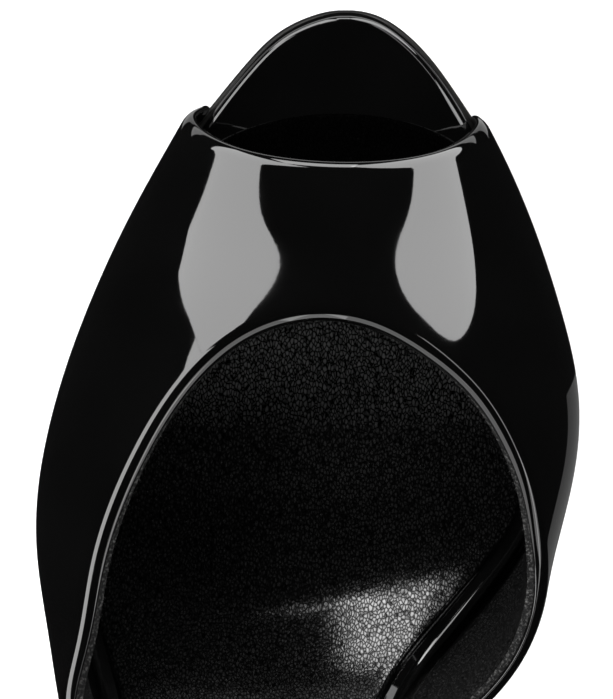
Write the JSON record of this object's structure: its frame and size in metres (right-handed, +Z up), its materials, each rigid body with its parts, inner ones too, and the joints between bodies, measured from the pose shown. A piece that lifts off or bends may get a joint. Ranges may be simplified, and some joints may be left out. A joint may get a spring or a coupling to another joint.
{
  "type": "mule",
  "caption": "Peep-toe mule in black patent leather: a low vamp with folded edges over a shaped insole with a grained sock, on a slim high heel.",
  "frame": {"origin": "on the floor, under the middle of the shoe's box", "axes": "+Y to the toe, +X to the inner (medial) side of the foot, +Z up"},
  "size_m": [0.0924, 0.2136, 0.0969],
  "materials": {
    "sole_leather": "black sole leather, satin",
    "insole_patent": "black patent, high gloss",
    "sock_leather": "black fine-grained leather, low sheen",
    "upper_patent": "black patent, high gloss",
    "heel_patent": "black patent cover, high gloss",
    "lift_rubber": "black hard rubber, matt"
  },
  "bodies": {
    "root": {"outsole": "sole_leather", "insole": "insole_patent", "sock": "sock_leather", "upper": "upper_patent", "heel": "heel_patent", "top_lift": "lift_rubber"}
  },
  "joints": []
}
